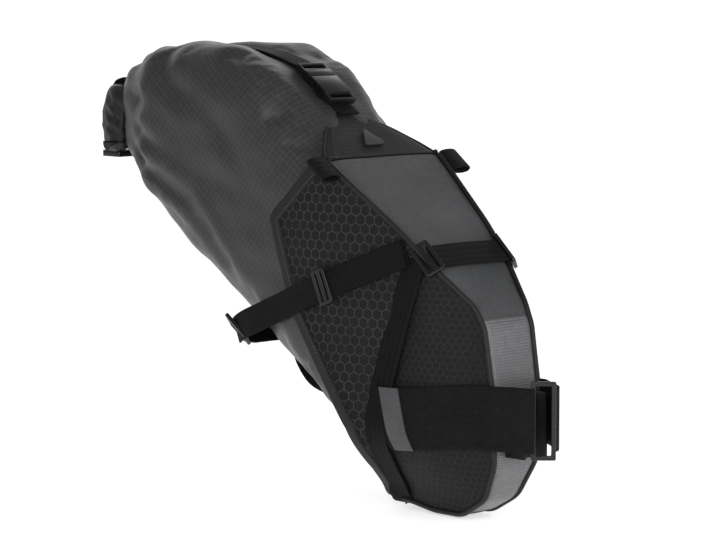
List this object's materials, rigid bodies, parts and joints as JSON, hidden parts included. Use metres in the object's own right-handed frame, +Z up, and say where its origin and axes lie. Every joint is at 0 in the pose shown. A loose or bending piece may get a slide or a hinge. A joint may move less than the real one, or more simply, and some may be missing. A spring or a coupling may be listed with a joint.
{
  "type": "bikepacking saddle bag",
  "caption": "Wedge-shaped saddle bag with a roll-top dry bag, a wide hook-and-loop seatpost strap and webbing straps.",
  "frame": {"origin": "middle of the seatpost clamp, on the seatpost's axis", "axes": "+Z up along the seatpost, +X forwards in the riding direction, +Y to the rider's left; the bag runs rearwards along -X and rises"},
  "size_m": [0.586, 0.184, 0.405],
  "materials": {
    "coated_fabric": "woven with a fine dotted coating, satin",
    "ribbed_fabric": "finely ribbed weave, matt",
    "black_fabric": "coated, matt",
    "flap_fabric": "coated, matt",
    "side_fabric": "woven, matt",
    "honeycomb_fabric": "woven, with a printed grid of hexagons",
    "binding": "smooth tape, matt",
    "piping": "covered cord, satin",
    "stiffener": "plain sheet",
    "ripstop": "coated ripstop nylon, semi-matt",
    "webbing": "herringbone webbing",
    "wide_strap": "ribbed hook-and-loop strap",
    "buckle_plastic": "moulded acetal, satin",
    "badge_rubber": "moulded, matt",
    "grip_rubber": "grippy, matt",
    "tab_rubber": "moulded, matt light grey"
  },
  "bodies": {
    "holster": {"front_panel_lower": "coated_fabric", "front_panel_upper": "ribbed_fabric", "boot_sole": "black_fabric", "top_flap": "flap_fabric", "side_front_panel_right": "side_fabric", "side_front_panel_left": "side_fabric", "side_rear_panel_right": "honeycomb_fabric", "side_rear_panel_left": "honeycomb_fabric", "edge_binding_right": "binding", "edge_binding_left": "binding", "piping_right": "piping", "piping_left": "piping", "boot_stiffener": "stiffener", "side_strap_right": "webbing", "side_strap_left": "webbing", "strap_tail_right": "webbing", "strap_tail_left": "webbing", "rail_strap": "webbing", "panel_slider_right": "buckle_plastic", "panel_slider_left": "buckle_plastic", "belly_strap": "webbing", "belly_slider_right": "buckle_plastic", "belly_slider_left": "buckle_plastic", "load_band": "webbing", "belly_daisy_chain": "webbing", "webbing_loop_right": "webbing", "webbing_loop_left": "webbing", "flap_badge": "badge_rubber", "seatpost_pad": "grip_rubber", "strap_ring": "buckle_plastic", "strap_base": "wide_strap", "ring_anchor": "wide_strap", "buckle_socket": "buckle_plastic", "flap_webbing": "webbing"},
    "dry_bag_body": {"dry_bag": "ripstop", "rolled_mouth": "ripstop", "tail_strap": "webbing", "buckle_plug": "buckle_plastic", "roll_strap_right": "webbing", "roll_strap_left": "webbing", "roll_clip_right": "buckle_plastic", "roll_clip_left": "buckle_plastic"},
    "closing_strap_body": {"closing_strap": "wide_strap", "pull_tab": "tab_rubber"},
    "keeper_right_body": {"keeper_right": "buckle_plastic"},
    "keeper_left_body": {"keeper_left": "buckle_plastic"},
    "prong_right_body": {"buckle_prong_right": "buckle_plastic"},
    "prong_left_body": {"buckle_prong_left": "buckle_plastic"}
  },
  "joints": [
    {"name": "dry_bag_slide", "type": "slide", "parent": "holster", "child": "dry_bag_body", "axis": [-0.8141, 0, 0.5807], "range_m": [0, 0.42], "deforming": ["buckle_prong_right", "buckle_prong_left"]},
    {"name": "closing_strap_peel", "type": "hinge", "parent": "holster", "child": "closing_strap_body", "pos_m": [0.00703, -0.01791, 0], "axis": [0, 0, 1], "range_deg": [0, 120]},
    {"name": "keeper_right_slide", "type": "slide", "parent": "holster", "child": "keeper_right_body", "axis": [-0.9182, -0.1142, -0.3794], "range_m": [-0.015, 0.015]},
    {"name": "keeper_left_slide", "type": "slide", "parent": "holster", "child": "keeper_left_body", "axis": [-0.9182, 0.1142, -0.3794], "range_m": [-0.015, 0.015]},
    {"name": "prong_right_squeeze", "type": "hinge", "parent": "dry_bag_body", "child": "prong_right_body", "pos_m": [-0.27346, -0.0106, 0.28992], "axis": [0.5807, 0, 0.8141], "range_deg": [0, 8], "stiffness_Nm_per_rad": 0.05},
    {"name": "prong_left_squeeze", "type": "hinge", "parent": "dry_bag_body", "child": "prong_left_body", "pos_m": [-0.27346, 0.0106, 0.28992], "axis": [0.5807, 0, 0.8141], "range_deg": [-8, 0], "stiffness_Nm_per_rad": 0.05}
  ],
  "couplings": [
    {"joint": "prong_left_squeeze", "follows": "prong_right_squeeze", "ratio": -1}
  ]
}
